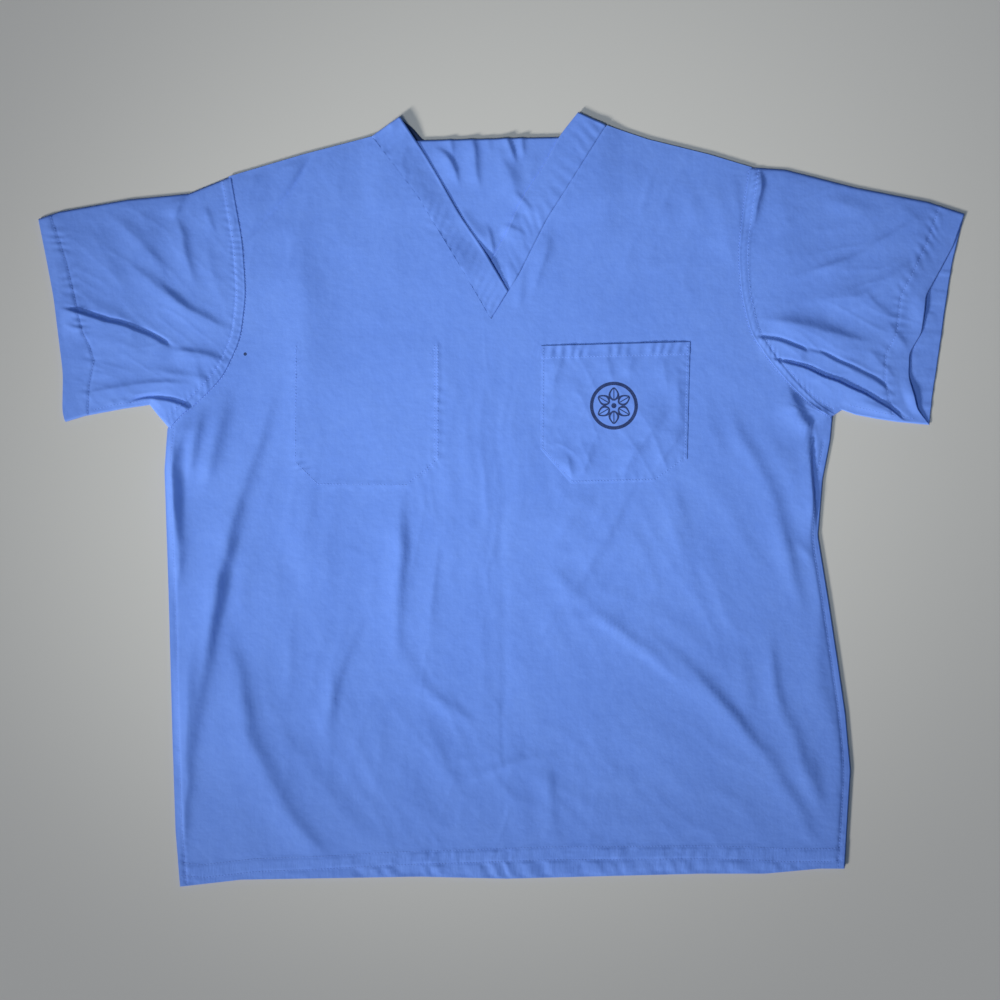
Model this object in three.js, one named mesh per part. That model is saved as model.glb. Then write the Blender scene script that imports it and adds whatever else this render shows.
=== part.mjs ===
import * as THREE from 'three';

// Short-sleeved V-neck scrub top, laid flat with its front up.
// All sizes are in mm. The lay-out is measured on a square board of one metre:
// x runs from the board's left side, y runs down from its top, at() turns both into the part's frame.
const BOARD_X = 501.55;
const BOARD_Y = 499.5;
const at = (x, y) => [x - BOARD_X, BOARD_Y - y];

// Cloth
const WALL = 1.4;
const BAND_WALL = 1.4;
const POCKET_WALL = 1.2;
const GAP = 0.3;
const HEM_DEPTH = 24;
const CUFF_DEPTH = 27;
const HEM_EXTRA = 0.5;
const PUFF = 2.4;
const PUFF_REACH = 30;

// Grid pitch of each piece, as counts
const FRONT_GRID = { across: 38, up: 42 };
const BACK_GRID = { across: 24 };
const SLEEVE_GRID = { along: 12 };
const BAND_GRID = { along: 14, across: 3 };
const POCKET_GRID = { across: 10, down: 10 };

const CLOTH_BLUE = 0x6488d6;
const SHADE_BLUE = 0x5c80cc;

// Edges of the body panel: x of each side at a height y, then the armhole up to the shoulder
const LEFT_SIDE = [
  { y: 886, x: 180.6 }, { y: 830, x: 176 }, { y: 740, x: 173 }, { y: 590, x: 169 },
  { y: 470, x: 165 }, { y: 428, x: 168 }, { y: 417, x: 176 }, { y: 400, x: 198 },
  { y: 376, x: 222 }, { y: 339, x: 239 }, { y: 294, x: 244.5 }, { y: 242, x: 241 }, { y: 177, x: 229 },
];
const RIGHT_SIDE = [
  { y: 868, x: 844 }, { y: 818, x: 847 }, { y: 770, x: 850 }, { y: 714, x: 845 },
  { y: 659, x: 837 }, { y: 600, x: 828 }, { y: 536, x: 817.5 }, { y: 480, x: 822 },
  { y: 442, x: 829.5 }, { y: 415, x: 832 }, { y: 409, x: 818 }, { y: 385, x: 792 },
  { y: 361, x: 771 }, { y: 333, x: 752 }, { y: 295, x: 743 }, { y: 253, x: 740 },
  { y: 208, x: 745 }, { y: 168, x: 752 },
];
const HEM_EDGE = [
  { x: 180.6, y: 886 }, { x: 242, y: 879 }, { x: 419, y: 876 }, { x: 507, y: 878 },
  { x: 700, y: 873 }, { x: 765, y: 873 }, { x: 819, y: 868 }, { x: 844, y: 868 },
];
const FRONT_TOP = [
  { x: 229, y: 177 }, { x: 303, y: 155 }, { x: 372, y: 137 }, { x: 417, y: 196 }, { x: 462, y: 270 },
  { x: 491, y: 320 }, { x: 519, y: 275 }, { x: 546, y: 221 }, { x: 566, y: 190 }, { x: 606, y: 126 },
  { x: 648, y: 140 }, { x: 709, y: 155 }, { x: 752, y: 168 },
];
const BACK_TOP = [
  { x: 229, y: 177 }, { x: 303, y: 155 }, { x: 372, y: 139 }, { x: 404, y: 142 }, { x: 424, y: 141 },
  { x: 558, y: 138 }, { x: 580, y: 136 }, { x: 606, y: 130 }, { x: 648, y: 141 }, { x: 709, y: 155 },
  { x: 752, y: 168 },
];

// Share of the side at which the armhole starts
const UNDERARM_SHARE = 0.6465;

// Sleeves, each edge from the armhole to the cuff or from the top to the underarm
const LEFT_SLEEVE_TOP = [[229, 177], [189, 194], [128, 200], [60, 212], [39, 219]];
const LEFT_SLEEVE_UNDER = [[168, 428], [158, 415], [150, 405], [123, 409], [86, 416], [66, 422]];
const LEFT_CUFF = [[39, 219], [47, 258], [54.5, 297], [64, 374], [63, 415], [66, 422]];
const RIGHT_SLEEVE_TOP = [[752, 168], [785, 170], [856, 188], [927, 202], [964, 214]];
const RIGHT_SLEEVE_UNDER = [[832, 415], [842, 410], [856, 415], [877, 419], [897, 422], [929, 425]];
const RIGHT_CUFF_FRONT = [
  [964, 214], [953, 246], [937, 275], [925, 296], [921, 333], [909, 353], [908, 377], [916, 409], [929, 425],
];
const RIGHT_CUFF_BACK = [
  [964, 214], [952, 263], [945.5, 304], [941, 337], [936, 371], [932, 396], [929, 425],
];

// Neck bands: the sewn edge and the free edge, from the shoulder to the point of the V
const LEFT_BAND = {
  from: 372,
  to: 491,
  free: [[400, 118], [424, 153], [463, 220], [486, 254], [508, 291.5]],
};
const RIGHT_BAND = {
  from: 606,
  to: 491,
  free: [[578, 113], [559, 137], [545, 164], [520, 202], [505, 236], [490, 262], [481, 282]],
};
const BAND_RISE = { left: 2.4, leftTop: 2.2, right: 0.9 };
const BAND_DIVE = 2.1;
const BACK_BAND = {
  upper: [[402, 121], [411, 134], [424, 143], [490, 142], [558, 140], [568, 129], [577, 117]],
  lower: [[392, 143], [399, 158], [418, 170], [490, 171], [563, 169], [584, 156], [592, 139]],
};

// Pockets: x at the top and foot of each side, y of the top edge at its two ends,
// and the foot with its cut corners, at shares of the width
const PATCH_POCKET = {
  left: { top: 541, foot: 540 },
  right: { top: 690, foot: 687 },
  top: { left: 346, right: 342 },
  foot: [{ share: 0, y: 449 }, { share: 0.21, y: 484 }, { share: 0.78, y: 482 }, { share: 1, y: 459 }],
};
const INNER_POCKET = {
  left: { top: 297, foot: 296 },
  right: { top: 438, foot: 438 },
  top: { left: 346, right: 345 },
  foot: [{ share: 0, y: 462 }, { share: 0.16, y: 484 }, { share: 0.81, y: 485 }, { share: 1, y: 462 }],
};

// Creases of the front, each an arc from one end to the other.
// bend is the sideways distance of its middle: to the left of an arc that runs down,
// below an arc that runs right. lean makes that same side the steeper one.
const CREASES = [
  { from: [258, 415], to: [184, 715], bend: 12, width: 13, height: 4.6, lean: -0.35 },
  { from: [178, 560], to: [182, 870], bend: 0, width: 9, height: 2.2, lean: 0 },
  { from: [228, 640], to: [315, 850], bend: 18, width: 15, height: 3.4, lean: -0.35 },
  { from: [250, 700], to: [390, 840], bend: 14, width: 16, height: 2.0, lean: -0.2 },
  { from: [393, 520], to: [390, 668], bend: 0, width: 11, height: 2.6, lean: -0.3 },
  { from: [392, 660], to: [470, 720], bend: 6, width: 12, height: 1.6, lean: -0.3 },
  { from: [342, 480], to: [322, 560], bend: 3, width: 12, height: 1.8, lean: -0.3 },
  { from: [362, 615], to: [322, 730], bend: 4, width: 11, height: 2.2, lean: -0.3 },
  { from: [300, 300], to: [300, 560], bend: -6, width: 26, height: 1.4, lean: 0 },
  { from: [501, 470], to: [504, 860], bend: 0, width: 8, height: 1.6, lean: 0.2 },
  { from: [540, 765], to: [558, 845], bend: 3, width: 9, height: 1.8, lean: -0.3 },
  { from: [560, 490], to: [545, 545], bend: 0, width: 14, height: 1.6, lean: 0 },
  { from: [585, 610], to: [818, 835], bend: -26, width: 13, height: 4.4, lean: -0.3 },
  { from: [680, 630], to: [800, 800], bend: -14, width: 15, height: -2.2, lean: 0 },
  { from: [735, 400], to: [790, 600], bend: -10, width: 13, height: -2.0, lean: 0 },
  { from: [775, 430], to: [832, 800], bend: -4, width: 24, height: 4.0, lean: -0.2 },
  { from: [765, 640], to: [812, 790], bend: 4, width: 11, height: 2.0, lean: -0.2 },
  { from: [800, 395], to: [812, 540], bend: 2, width: 10, height: 2.6, lean: -0.4 },
  { from: [310, 165], to: [244, 246], bend: 0, width: 10, height: 1.6, lean: 0.2 },
  { from: [80, 322], to: [222, 352], bend: -4, width: 14, height: 5.2, lean: 0.4 },
  { from: [70, 300], to: [200, 332], bend: -2, width: 7, height: -2.0, lean: 0 },
  { from: [140, 264], to: [226, 318], bend: -4, width: 12, height: 3.0, lean: -0.3 },
  { from: [176, 216], to: [205, 290], bend: 3, width: 12, height: 2.4, lean: -0.2 },
  { from: [100, 398], to: [200, 388], bend: -5, width: 10, height: 3.4, lean: -0.2 },
  { from: [190, 410], to: [172, 450], bend: 0, width: 9, height: 2.4, lean: -0.2 },
  { from: [796, 282], to: [915, 226], bend: 0, width: 14, height: 3.0, lean: 0 },
  { from: [806, 318], to: [930, 262], bend: 0, width: 15, height: 3.0, lean: 0 },
  { from: [762, 352], to: [905, 392], bend: 2, width: 12, height: 4.2, lean: -0.2 },
  { from: [772, 362], to: [908, 412], bend: 6, width: 8, height: -2.6, lean: 0 },
  { from: [800, 392], to: [915, 424], bend: 2, width: 8, height: 3.2, lean: 0 },
  { from: [925, 250], to: [915, 400], bend: 4, width: 12, height: 2.6, lean: 0 },
];

// Gathers of the back below its neck edge
const GATHERS = [
  { from: [446, 142], to: [466, 190], bend: 0, width: 9, height: 1.0, lean: 0 },
  { from: [474, 142], to: [486, 200], bend: 0, width: 9, height: 1.2, lean: 0 },
  { from: [512, 142], to: [530, 205], bend: 0, width: 9, height: 1.2, lean: 0 },
];

const lerp = (a, b, t) => a + (b - a) * t;
const clamp = (v, lo, hi) => Math.min(Math.max(v, lo), hi);
const smooth = (a, b, v) => {
  const t = clamp((v - a) / (b - a), 0, 1);
  return t * t * (3 - 2 * t);
};

// Value of one column of a table at a value of another, joined by straight lines
function readTable(rows, key, value, want) {
  const rising = rows[rows.length - 1][key] > rows[0][key];
  for (let i = 0; i < rows.length - 1; i += 1) {
    const a = rows[i];
    const b = rows[i + 1];
    const inside = rising ? value <= b[key] : value >= b[key];
    if (inside || i === rows.length - 2) {
      const t = clamp((value - a[key]) / (b[key] - a[key]), 0, 1);
      return lerp(a[want], b[want], t);
    }
  }
  return rows[0][want];
}

// Point at a share u of the length of a line through a few points
function pointOn(line, u) {
  const sizes = [];
  let total = 0;
  for (let i = 1; i < line.length; i += 1) {
    const size = Math.hypot(line[i][0] - line[i - 1][0], line[i][1] - line[i - 1][1]);
    sizes.push(size);
    total += size;
  }
  let left = clamp(u, 0, 1) * total;
  for (let i = 0; i < sizes.length; i += 1) {
    if (left <= sizes[i] || i === sizes.length - 1) {
      const t = clamp(left / sizes[i], 0, 1);
      return [lerp(line[i][0], line[i + 1][0], t), lerp(line[i][1], line[i + 1][1], t)];
    }
    left -= sizes[i];
  }
  return line[0];
}

// The same line moved sideways, to the left of an arc that runs down
function movedLine(line, distance) {
  return line.map((point, i) => {
    const before = line[Math.max(i - 1, 0)];
    const after = line[Math.min(i + 1, line.length - 1)];
    const dx = after[0] - before[0];
    const dy = after[1] - before[1];
    const size = Math.hypot(dx, dy);
    return [point[0] - (dy / size) * distance, point[1] + (dx / size) * distance];
  });
}

const ARC_STEPS = 10;
function creaseHeight(rows, x, y) {
  let sum = 0;
  for (const row of rows) {
    const [x0, y0] = row.from;
    const [x1, y1] = row.to;
    const size = Math.hypot(x1 - x0, y1 - y0);
    const reach = row.width * 3;
    const nx = -(y1 - y0) / size;
    const ny = (x1 - x0) / size;
    const cx = (x0 + x1) / 2 + nx * row.bend * 2;
    const cy = (y0 + y1) / 2 + ny * row.bend * 2;
    let best = Infinity;
    let bestU = 0;
    let side = 1;
    let px = x0;
    let py = y0;
    for (let i = 1; i <= ARC_STEPS; i += 1) {
      const u = i / ARC_STEPS;
      const qx = (1 - u) * (1 - u) * x0 + 2 * u * (1 - u) * cx + u * u * x1;
      const qy = (1 - u) * (1 - u) * y0 + 2 * u * (1 - u) * cy + u * u * y1;
      const ex = qx - px;
      const ey = qy - py;
      const t = clamp(((x - px) * ex + (y - py) * ey) / (ex * ex + ey * ey), 0, 1);
      const d = Math.hypot(x - px - ex * t, y - py - ey * t);
      if (d < best) {
        best = d;
        bestU = (i - 1 + t) / ARC_STEPS;
        side = ex * (y - py) - ey * (x - px) >= 0 ? 1 : -1;
      }
      px = qx;
      py = qy;
    }
    if (best > reach) continue;
    const width = row.width * (1 - side * row.lean);
    const taper = smooth(0, 0.2, bestU) * smooth(1, 0.8, bestU);
    sum += row.height * taper * Math.exp(-((best / width) ** 2));
  }
  return sum;
}

// Outline of the whole lay-out without the neck, for the height of the front near its edges
const OUTLINE = [
  ...HEM_EDGE.map((p) => [p.x, p.y]),
  ...RIGHT_SIDE.slice(1, 10).map((p) => [p.x, p.y]),
  ...RIGHT_SLEEVE_UNDER.slice(1),
  ...[...RIGHT_CUFF_BACK].reverse().slice(1),
  ...[...RIGHT_SLEEVE_TOP].reverse().slice(1),
  ...FRONT_TOP.slice(9).map((p) => [p.x, p.y]).reverse().slice(1),
  null,
  ...FRONT_TOP.slice(0, 3).map((p) => [p.x, p.y]).reverse(),
  ...LEFT_SLEEVE_TOP.slice(1),
  ...LEFT_CUFF.slice(1),
  ...[...LEFT_SLEEVE_UNDER].reverse().slice(1),
  ...LEFT_SIDE.slice(0, 5).map((p) => [p.x, p.y]).reverse(),
];
function edgeDistance(x, y) {
  let best = Infinity;
  for (let i = 1; i < OUTLINE.length; i += 1) {
    const a = OUTLINE[i - 1];
    const b = OUTLINE[i];
    if (!a || !b) continue;
    const ex = b[0] - a[0];
    const ey = b[1] - a[1];
    const t = clamp(((x - a[0]) * ex + (y - a[1]) * ey) / (ex * ex + ey * ey), 0, 1);
    best = Math.min(best, Math.hypot(x - a[0] - ex * t, y - a[1] - ey * t));
  }
  return best;
}

// Rise of the back over the band turned under its neck edge
function neckRaise(x, y) {
  const across = smooth(358, 384, x) * smooth(626, 600, x);
  return (BAND_WALL + GAP + 0.3) * across * smooth(232, 196, y);
}
const backTop = (x, y) => WALL + neckRaise(x, y) + Math.max(creaseHeight(GATHERS, x, y), 0);

// Room for the pocket that is sewn inside
function pocketRoom(x, y) {
  const across = smooth(276, 292, x) * smooth(460, 443, x);
  return (POCKET_WALL + GAP + 0.5) * across * smooth(325, 342, y) * smooth(506, 489, y);
}
const neckRoom = (x, y) => 2.3 * smooth(170, 60, Math.hypot(x - 490, y - 265));

// Height of the front over the back
function frontRise(x, y) {
  const puff = PUFF * (1 - Math.exp(-edgeDistance(x, y) / PUFF_REACH));
  const edge = smooth(0, 14, edgeDistance(x, y));
  const free = puff + creaseHeight(CREASES, x, y) * edge;
  return Math.max(free, 0.1 * edge, pocketRoom(x, y), neckRoom(x, y));
}
const frontUnder = (x, y) => backTop(x, y) + GAP + frontRise(x, y);

const group = new THREE.Group();
group.name = 'v_neck_scrub_top';

function addMesh(name, points, faces, color, roughness) {
  const flat = [];
  for (const [a, b, c] of faces) {
    for (const k of [a, b, c]) flat.push(points[k][0], points[k][1], points[k][2]);
  }
  let volume = 0;
  for (let i = 0; i < flat.length; i += 9) {
    const [ax, ay, az, bx, by, bz, cx, cy, cz] = flat.slice(i, i + 9);
    volume += ax * (by * cz - bz * cy) + ay * (bz * cx - bx * cz) + az * (bx * cy - by * cx);
  }
  const order = volume < 0 ? faces.map(([a, b, c]) => [a, c, b]) : faces;
  const geometry = new THREE.BufferGeometry();
  geometry.setAttribute('position', new THREE.Float32BufferAttribute(points.flat(), 3));
  geometry.setIndex(order.flat());
  geometry.computeVertexNormals();
  const material = new THREE.MeshStandardMaterial({ color, roughness, metalness: 0 });
  material.name = `${name}_cloth`;
  const mesh = new THREE.Mesh(geometry, material);
  mesh.name = name;
  group.add(mesh);
}

// A sheet with a top and an underside over one grid, closed round its border
function sheetSolid(columns, rows, place) {
  const points = [];
  const faces = [];
  const nx = columns.length;
  const ny = rows.length;
  for (let layer = 0; layer < 2; layer += 1) {
    for (let j = 0; j < ny; j += 1) {
      for (let i = 0; i < nx; i += 1) {
        const [x, y, top, under] = place(columns[i], rows[j]);
        const [px, py] = at(x, y);
        points.push([px, py, layer === 0 ? top : under]);
      }
    }
  }
  const id = (layer, i, j) => layer * nx * ny + j * nx + i;
  for (let layer = 0; layer < 2; layer += 1) {
    for (let j = 0; j < ny - 1; j += 1) {
      for (let i = 0; i < nx - 1; i += 1) {
        const q = [id(layer, i, j), id(layer, i + 1, j), id(layer, i + 1, j + 1), id(layer, i, j + 1)];
        if (layer === 1) q.reverse();
        const [a, b, c, d] = layer === 1 ? [q[1], q[2], q[3], q[0]] : q;
        if ((i + j) % 2 === 0) faces.push([a, b, c], [a, c, d]);
        else faces.push([a, b, d], [b, c, d]);
      }
    }
  }
  const border = [];
  for (let i = 0; i < nx - 1; i += 1) border.push([i, 0]);
  for (let j = 0; j < ny - 1; j += 1) border.push([nx - 1, j]);
  for (let i = nx - 1; i > 0; i -= 1) border.push([i, ny - 1]);
  for (let j = ny - 1; j > 0; j -= 1) border.push([0, j]);
  border.forEach(([i, j], k) => {
    const [i2, j2] = border[(k + 1) % border.length];
    faces.push([id(0, i, j), id(1, i, j), id(1, i2, j2)], [id(0, i, j), id(1, i2, j2), id(0, i2, j2)]);
  });
  return { points, faces };
}

function evenSteps(count, extra = []) {
  const steps = [];
  for (let i = 0; i <= count; i += 1) steps.push(i / count);
  const pitch = 1 / count;
  const kept = steps.filter((v) => v === 0 || v === 1 || extra.every((e) => Math.abs(e - v) > pitch * 0.45));
  return [...kept, ...extra].sort((a, b) => a - b);
}

// Body panels
const TOP_LEFT = 229;
const TOP_RIGHT = 752;
const HEM_LEFT = 180.6;
const HEM_RIGHT = 844;
const topShare = (x) => (x - TOP_LEFT) / (TOP_RIGHT - TOP_LEFT);
function bodyPoint(s, t, topRows, inset) {
  const yLeft = lerp(886, 177, t);
  const yRight = lerp(868, 168, t);
  const xLeft = readTable(LEFT_SIDE, 'y', yLeft, 'x') + inset;
  const xRight = readTable(RIGHT_SIDE, 'y', yRight, 'x') - inset;
  const x = lerp(xLeft, xRight, s);
  const yHem = readTable(HEM_EDGE, 'x', lerp(HEM_LEFT, HEM_RIGHT, s), 'y') - inset;
  const yTop = readTable(topRows, 'x', lerp(TOP_LEFT, TOP_RIGHT, s), 'y') + inset;
  return [x, lerp(yHem, yTop, t)];
}
const HEM_SHARE = HEM_DEPTH / 709;
const hemStep = (t) => HEM_EXTRA * smooth(HEM_SHARE + 0.004, HEM_SHARE, t);
const PLAIN_ROWS = evenSteps(FRONT_GRID.up, [UNDERARM_SHARE]);
const FRONT_ROWS = evenSteps(FRONT_GRID.up, [HEM_SHARE, HEM_SHARE + 0.004, UNDERARM_SHARE]);
const BACK_ROWS = PLAIN_ROWS.filter((t, i) => t >= UNDERARM_SHARE || i % 2 === 0);
const FRONT_COLUMNS = evenSteps(FRONT_GRID.across, [topShare(372), topShare(491), topShare(606)]);
const neckLine = (from, to) => {
  const line = FRONT_COLUMNS.map((s) => bodyPoint(s, 1, FRONT_TOP, 0))
    .filter(([x]) => x > Math.min(from, to) - 0.01 && x < Math.max(from, to) + 0.01);
  return from < to ? line : line.reverse();
};
const armholeLine = (s) => FRONT_ROWS.filter((t) => t >= UNDERARM_SHARE).reverse()
  .map((t) => bodyPoint(s, t, FRONT_TOP, 0));

{
  const { points, faces } = sheetSolid(FRONT_COLUMNS, FRONT_ROWS, (s, t) => {
    const [x, y] = bodyPoint(s, t, FRONT_TOP, 0);
    const under = frontUnder(x, y);
    return [x, y, under + WALL + hemStep(t), under];
  });
  addMesh('front_panel', points, faces, CLOTH_BLUE, 0.88);
}
{
  const columns = evenSteps(BACK_GRID.across, [topShare(404), topShare(580)]);
  const { points, faces } = sheetSolid(columns, BACK_ROWS, (s, t) => {
    const [x, y] = bodyPoint(s, t, BACK_TOP, 0.6);
    return [x, y, backTop(x, y), backTop(x, y) - WALL];
  });
  addMesh('back_panel', points, faces, SHADE_BLUE, 0.9);
}

// Sleeves: flattened tubes, open at the armhole and at the cuff
function patchPoint(edges, u, v) {
  const start = pointOn(edges.start, v);
  const end = pointOn(edges.end, v);
  const top = pointOn(edges.top, u);
  const under = pointOn(edges.under, u);
  const c00 = edges.top[0];
  const c10 = edges.top[edges.top.length - 1];
  const c01 = edges.under[0];
  const c11 = edges.under[edges.under.length - 1];
  return [0, 1].map((k) => lerp(start[k], end[k], u) + lerp(top[k], under[k], v)
    - lerp(lerp(c00[k], c10[k], u), lerp(c01[k], c11[k], u), v));
}
function sharesOf(line) {
  const sums = [0];
  for (let i = 1; i < line.length; i += 1) {
    sums.push(sums[i - 1] + Math.hypot(line[i][0] - line[i - 1][0], line[i][1] - line[i - 1][1]));
  }
  return sums.map((v) => v / sums[sums.length - 1]);
}
function sleeveSolid(front, back) {
  const stations = evenSteps(SLEEVE_GRID.along);
  const shares = sharesOf(front.start);
  const count = shares.length - 1;
  const outer = [];
  const inner = [];
  for (const u of stations) {
    const outerLoop = [];
    const innerLoop = [];
    const length = 215;
    const inset = WALL / length;
    const cuff = HEM_EXTRA * smooth(1 - CUFF_DEPTH / 190, 1 - CUFF_DEPTH / 190 + 0.02, u);
    const put = (loop, edges, v, high) => {
      const [x, y] = patchPoint(edges, u, v);
      const [px, py] = at(x, y);
      loop.push([px, py, high(x, y)]);
    };
    for (let j = 0; j <= count; j += 1) {
      const v = shares[j];
      put(outerLoop, front, v, (x, y) => frontUnder(x, y) + WALL + cuff);
      put(innerLoop, front, clamp(v, inset, 1 - inset), (x, y) => frontUnder(x, y));
    }
    put(outerLoop, front, 1, () => WALL + GAP / 2);
    put(innerLoop, front, 1 - inset * 0.9, () => WALL + GAP / 2);
    for (let j = count; j >= 0; j -= 1) {
      const v = shares[j];
      put(outerLoop, back, v, () => 0);
      put(innerLoop, back, clamp(v, inset, 1 - inset), () => WALL);
    }
    put(outerLoop, front, 0, () => WALL + GAP / 2);
    put(innerLoop, front, inset * 0.9, () => WALL + GAP / 2);
    const roundEdge = (loop, k, ref) => {
      const dx = loop[k][0] - ref[0];
      const dy = loop[k][1] - ref[1];
      const size = Math.hypot(dx, dy);
      loop[k] = [loop[k][0] + (dx / size) * 0.7, loop[k][1] + (dy / size) * 0.7, loop[k][2]];
    };
    roundEdge(outerLoop, count + 1, outerLoop[count - 1]);
    roundEdge(outerLoop, outerLoop.length - 1, outerLoop[1]);
    outer.push(outerLoop);
    inner.push(innerLoop);
  }
  const size = outer[0].length;
  const points = [...outer.flat(), ...inner.flat()];
  const id = (layer, i, k) => (layer * outer.length + i) * size + (k % size);
  const faces = [];
  const quad = (a, b, c, d) => faces.push([a, b, c], [a, c, d]);
  for (let i = 0; i < outer.length - 1; i += 1) {
    for (let k = 0; k < size; k += 1) {
      quad(id(0, i, k), id(0, i + 1, k), id(0, i + 1, k + 1), id(0, i, k + 1));
      quad(id(1, i, k + 1), id(1, i + 1, k + 1), id(1, i + 1, k), id(1, i, k));
    }
  }
  const last = outer.length - 1;
  for (let k = 0; k < size; k += 1) {
    quad(id(0, 0, k), id(0, 0, k + 1), id(1, 0, k + 1), id(1, 0, k));
    quad(id(0, last, k + 1), id(0, last, k), id(1, last, k), id(1, last, k + 1));
  }
  return { points, faces };
}
const SEAM_GAP = 0.4;
// Rows of a band: the points of the panel's neck edge and the middles between them
function bandRows(line) {
  const shares = sharesOf(line);
  return shares.flatMap((v, i) => (i === 0 ? [v] : [(v + shares[i - 1]) / 2, v]));
}
{
  const start = movedLine(armholeLine(0), SEAM_GAP);
  const moved = (line) => [start[0], ...line.slice(1)];
  const under = [start[start.length - 1], ...LEFT_SLEEVE_UNDER.slice(1)];
  const edges = { start, end: LEFT_CUFF, top: moved(LEFT_SLEEVE_TOP), under };
  const { points, faces } = sleeveSolid(edges, edges);
  addMesh('right_sleeve', points, faces, CLOTH_BLUE, 0.88);
}
{
  const start = movedLine(armholeLine(1), -SEAM_GAP);
  const top = [start[0], ...RIGHT_SLEEVE_TOP.slice(1)];
  const under = [start[start.length - 1], ...RIGHT_SLEEVE_UNDER.slice(1)];
  const front = { start, end: RIGHT_CUFF_FRONT, top, under };
  const back = { start, end: RIGHT_CUFF_BACK, top, under };
  const { points, faces } = sleeveSolid(front, back);
  addMesh('left_sleeve', points, faces, CLOTH_BLUE, 0.88);
}

// Neck bands: the left one laps over the end of the right one
{
  const columns = evenSteps(BAND_GRID.across);
  const sewn = movedLine(neckLine(LEFT_BAND.from, LEFT_BAND.to), -SEAM_GAP);
  const build = sheetSolid(columns, bandRows(sewn), (s, t) => {
    const a = pointOn(sewn, t * 0.996);
    const b = pointOn(LEFT_BAND.free, t * 0.996);
    const x = lerp(a[0], b[0], s);
    const y = lerp(a[1], b[1], s);
    const rise = (BAND_RISE.left + BAND_RISE.leftTop * smooth(0.35, 0, t)) * s;
    const shift = neckRaise(x, y) - neckRaise(a[0], a[1]);
    const under = frontUnder(a[0], a[1]) + rise + shift;
    return [x, y, under + BAND_WALL, under];
  });
  addMesh('neckband_right_front', build.points, build.faces, CLOTH_BLUE, 0.86);
}
{
  const columns = evenSteps(BAND_GRID.across);
  const sewn = movedLine(neckLine(RIGHT_BAND.from, RIGHT_BAND.to), SEAM_GAP);
  const build = sheetSolid(columns, bandRows(sewn), (s, t) => {
    const a = pointOn(sewn, t * 0.985);
    const b = pointOn(RIGHT_BAND.free, t);
    const x = lerp(a[0], b[0], s);
    const y = lerp(a[1], b[1], s);
    const shift = neckRaise(x, y) - neckRaise(a[0], a[1]);
    const dive = BAND_DIVE * smooth(0.6, 0.8, t);
    const under = frontUnder(a[0], a[1]) + BAND_RISE.right * s * smooth(0.8, 0.5, t) - dive + shift;
    return [x, y, under + BAND_WALL, under];
  });
  addMesh('neckband_left_front', build.points, build.faces, CLOTH_BLUE, 0.86);
}
{
  const columns = evenSteps(BAND_GRID.across);
  const rows = evenSteps(BAND_GRID.along);
  const build = sheetSolid(columns, rows, (s, t) => {
    const a = pointOn(BACK_BAND.lower, t);
    const b = pointOn(BACK_BAND.upper, t);
    return [lerp(a[0], b[0], s), lerp(a[1], b[1], s), BAND_WALL, 0];
  });
  addMesh('neckband_back', build.points, build.faces, SHADE_BLUE, 0.9);
}

// Pockets, laid from the panel's own height and moved clear of it
const STENCIL = [[0, 0], [9, 0], [-9, 0], [0, 9], [0, -9], [6, 6], [-6, 6], [6, -6], [-6, -6]];
function pocketSolid(pocket, height) {
  const columns = evenSteps(POCKET_GRID.across, [pocket.foot[1].share, pocket.foot[2].share]);
  const rows = evenSteps(POCKET_GRID.down);
  return sheetSolid(columns, rows, (s, t) => {
    const yTop = lerp(pocket.top.left, pocket.top.right, s);
    const y = lerp(yTop, readTable(pocket.foot, 'share', s, 'y'), t);
    const xLeft = lerp(pocket.left.top, pocket.left.foot, t);
    const xRight = lerp(pocket.right.top, pocket.right.foot, t);
    const x = lerp(xLeft, xRight, s);
    const [top, under] = height(x, y);
    return [x, y, top, under];
  });
}
{
  const build = pocketSolid(PATCH_POCKET, (x, y) => {
    const base = Math.max(...STENCIL.map(([dx, dy]) => frontUnder(x + dx, y + dy))) + WALL + GAP;
    return [base + POCKET_WALL, base];
  });
  addMesh('patch_pocket', build.points, build.faces, CLOTH_BLUE, 0.88);
}
{
  const build = pocketSolid(INNER_POCKET, (x, y) => {
    const top = Math.min(...STENCIL.map(([dx, dy]) => frontUnder(x + dx, y + dy))) - GAP;
    return [top, top - POCKET_WALL];
  });
  addMesh('inner_pocket', build.points, build.faces, SHADE_BLUE, 0.9);
}

export default group;
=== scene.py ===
import math
import bmesh
import bpy
import numpy as np
from mathutils import Matrix, Vector
from mathutils.bvhtree import BVHTree


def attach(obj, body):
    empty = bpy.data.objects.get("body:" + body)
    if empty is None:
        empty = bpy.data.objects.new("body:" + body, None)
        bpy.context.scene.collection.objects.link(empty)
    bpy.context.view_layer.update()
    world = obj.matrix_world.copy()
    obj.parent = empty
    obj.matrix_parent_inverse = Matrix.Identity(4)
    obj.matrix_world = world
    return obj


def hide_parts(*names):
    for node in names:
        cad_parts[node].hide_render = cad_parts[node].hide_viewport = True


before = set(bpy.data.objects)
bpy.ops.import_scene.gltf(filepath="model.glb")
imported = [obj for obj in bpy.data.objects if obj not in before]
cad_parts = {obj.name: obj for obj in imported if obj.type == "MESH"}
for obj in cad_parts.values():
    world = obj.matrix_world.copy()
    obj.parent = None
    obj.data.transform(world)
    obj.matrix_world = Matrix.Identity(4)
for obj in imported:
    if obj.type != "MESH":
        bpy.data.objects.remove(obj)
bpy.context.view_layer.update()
print("frame loaded")

# The lay-out is measured on a board in millimetres: x from its left side, y down from its top.
# Left and right in the tables are those seen from above, and the finished pieces are named for the wearer.
board = {"x": 501.55, "y": 499.5}

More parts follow.
